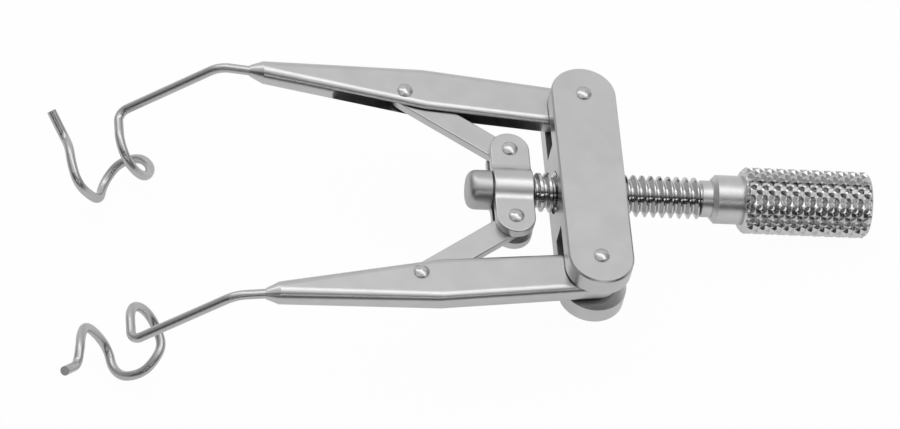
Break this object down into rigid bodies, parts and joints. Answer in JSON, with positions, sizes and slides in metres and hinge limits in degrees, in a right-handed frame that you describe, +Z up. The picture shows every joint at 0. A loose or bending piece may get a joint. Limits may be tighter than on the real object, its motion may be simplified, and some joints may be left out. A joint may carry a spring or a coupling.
{
  "type": "eye speculum",
  "caption": "Wire eyelid speculum: hooked wire blades on hinged arms, spread by a knurled screw through a pair of links on a crossbar.",
  "frame": {"origin": "on the floor under the middle of the whole instrument as it lies", "axes": "+X along the instrument from the blades towards the knob, +Y to the right-hand arm, +Z up; the screw's axis dips towards the knob by about 10 degrees, as the instrument lies on its blades and knob"},
  "size_m": [0.0744, 0.0304, 0.0137],
  "materials": {
    "satin_steel": "satin, fine-blasted stainless steel",
    "turned_steel": "bright, fine-turned stainless steel",
    "wire_steel": "brushed and polished stainless wire",
    "rivet_steel": "peened and polished stainless rivets"
  },
  "bodies": {
    "bar": {"crossbar": "satin_steel", "right_arm_pivot_pin": "rivet_steel", "left_arm_pivot_pin": "rivet_steel"},
    "right_arm": {"right_arm": "satin_steel", "right_blade_wire": "wire_steel", "right_link_rivet": "rivet_steel"},
    "left_arm": {"left_arm": "satin_steel", "left_blade_wire": "wire_steel", "left_link_rivet": "rivet_steel"},
    "yoke": {"yoke_top_plate": "satin_steel", "yoke_bottom_plate": "satin_steel", "right_yoke_rivet": "rivet_steel", "left_yoke_rivet": "rivet_steel"},
    "screw": {"drive_screw": "turned_steel", "knurled_knob": "turned_steel"},
    "right_link": {"right_link": "satin_steel"},
    "left_link": {"left_link": "satin_steel"}
  },
  "joints": [
    {"name": "yoke_slide", "type": "slide", "parent": "bar", "child": "yoke", "axis": [0.984, 0, -0.1782], "range_m": [-0.0022, 0.0014]},
    {"name": "knob_turn", "type": "hinge", "parent": "yoke", "child": "screw", "pos_m": [0.01118, 0, 0.00755], "axis": [0.984, 0, -0.1782], "range_deg": [-991, 631]},
    {"name": "right_arm_swing", "type": "hinge", "parent": "bar", "child": "right_arm", "pos_m": [0.01118, 0.00933, 0.00755], "axis": [0.1782, 0, 0.984], "range_deg": [-10.85, 6.97]},
    {"name": "left_arm_swing", "type": "hinge", "parent": "bar", "child": "left_arm", "pos_m": [0.01118, -0.00933, 0.00755], "axis": [-0.1782, 0, -0.984], "range_deg": [-10.85, 6.97]},
    {"name": "right_link_swing", "type": "hinge", "parent": "yoke", "child": "right_link", "pos_m": [0.00427, 0.00384, 0.0088], "axis": [0.1782, 0, 0.984], "range_deg": [-19.76, 12.65]},
    {"name": "left_link_swing", "type": "hinge", "parent": "yoke", "child": "left_link", "pos_m": [0.00427, -0.00384, 0.0088], "axis": [-0.1782, 0, -0.984], "range_deg": [-19.76, 12.65]}
  ],
  "couplings": [
    {"joint": "knob_turn", "follows": "yoke_slide", "rad_per_m": 7854},
    {"joint": "right_arm_swing", "follows": "yoke_slide", "rad_per_m": 84.45},
    {"joint": "left_arm_swing", "follows": "yoke_slide", "rad_per_m": 84.45},
    {"joint": "right_link_swing", "follows": "yoke_slide", "rad_per_m": 155.21},
    {"joint": "left_link_swing", "follows": "yoke_slide", "rad_per_m": 155.21}
  ]
}
